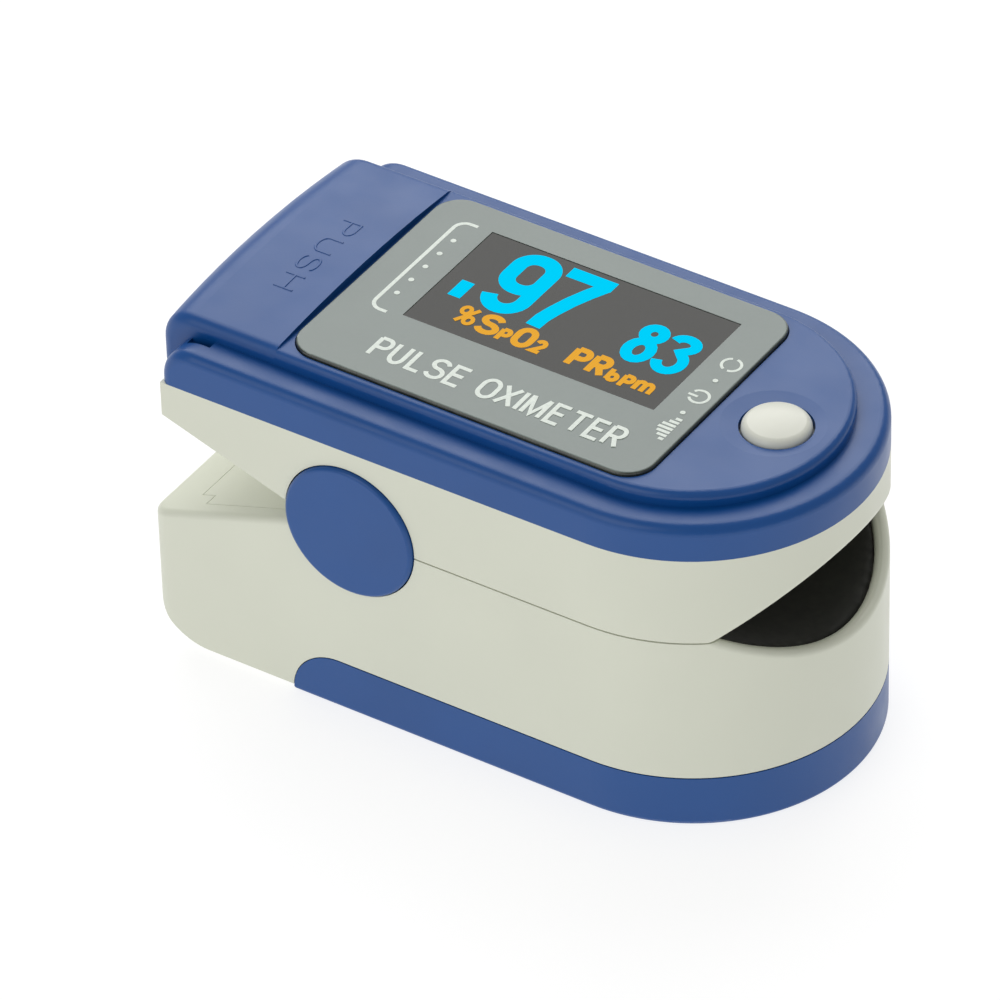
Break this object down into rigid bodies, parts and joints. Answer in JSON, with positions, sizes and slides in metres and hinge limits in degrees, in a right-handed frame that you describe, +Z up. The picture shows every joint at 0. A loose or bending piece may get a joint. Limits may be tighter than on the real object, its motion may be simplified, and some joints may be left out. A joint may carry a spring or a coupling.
{
  "type": "fingertip pulse oximeter",
  "caption": "Clip-on fingertip pulse oximeter: hinged white shells with a blue cover, display lens, push button, padded finger channel and slide-off battery cover.",
  "frame": {"origin": "centre of the object's box at the surface it rests on", "axes": "+X towards the nose with the finger opening, +Y across the display (up in the digits' reading direction), +Z up"},
  "size_m": [0.0576, 0.0318, 0.032],
  "materials": {
    "blue_plastic": "satin moulded ABS, mid blue",
    "white_plastic": "satin moulded ABS, warm white",
    "clear_lens": "polished clear acrylic",
    "grey_print": "grey back print under the lens",
    "oled_glass": "dark glass display panel",
    "black_silicone": "matt black silicone",
    "button_white": "satin white ABS",
    "board_green": "solder mask",
    "chip_black": "moulded epoxy",
    "steel": "bright steel",
    "cell_sleeve": "printed sleeve",
    "flex_amber": "polyimide film",
    "clear_window": "clear epoxy window",
    "frame_black": "matt black ABS"
  },
  "bodies": {
    "lower_half": {"lower_case": "white_plastic", "lower_tray": "white_plastic", "lower_finger_pad": "black_silicone", "detector_board": "board_green", "photodiode": "chip_black", "detector_window": "clear_window", "jaw_flex": "flex_amber", "battery_left": "cell_sleeve", "battery_right": "cell_sleeve", "rear_contacts": "steel", "front_contact": "steel", "battery_springs": "steel", "hinge_axle": "steel", "hinge_cap_left": "blue_plastic", "hinge_cap_right": "blue_plastic", "torsion_spring_left": "steel", "torsion_spring_right": "steel"},
    "upper_half": {"upper_case": "white_plastic", "upper_finger_pad": "black_silicone", "top_cover": "blue_plastic", "upper_screws": "steel", "display_lens": "clear_lens", "lens_mask": "grey_print", "oled_panel": "oled_glass", "display_frame": "frame_black", "oled_flex": "flex_amber", "main_board": "board_green", "microcontroller": "chip_black", "amplifier_chip": "chip_black", "boost_converter": "chip_black", "crystal": "steel", "led_emitter": "clear_window", "emitter_window": "clear_window", "tact_switch": "frame_black"},
    "power_button": {"power_button": "button_white", "switch_plunger": "chip_black"},
    "battery_cover": {"battery_cover": "blue_plastic"}
  },
  "joints": [
    {"name": "jaw_hinge", "type": "hinge", "parent": "lower_half", "child": "upper_half", "pos_m": [-0.0089, 0, 0.0186], "axis": [0, -1, 0], "range_deg": [0, 18], "stiffness_Nm_per_rad": 0.06, "springref_deg": -34.38, "deforming": ["torsion_spring_left", "torsion_spring_right", "jaw_flex"]},
    {"name": "power_press", "type": "slide", "parent": "upper_half", "child": "power_button", "axis": [0, 0, -1], "range_m": [0, 0.0003], "stiffness_N_per_m": 2000, "springref_m": -0.0002},
    {"name": "battery_cover_slide", "type": "slide", "parent": "lower_half", "child": "battery_cover", "axis": [1, 0, 0], "range_m": [0, 0.06]}
  ]
}
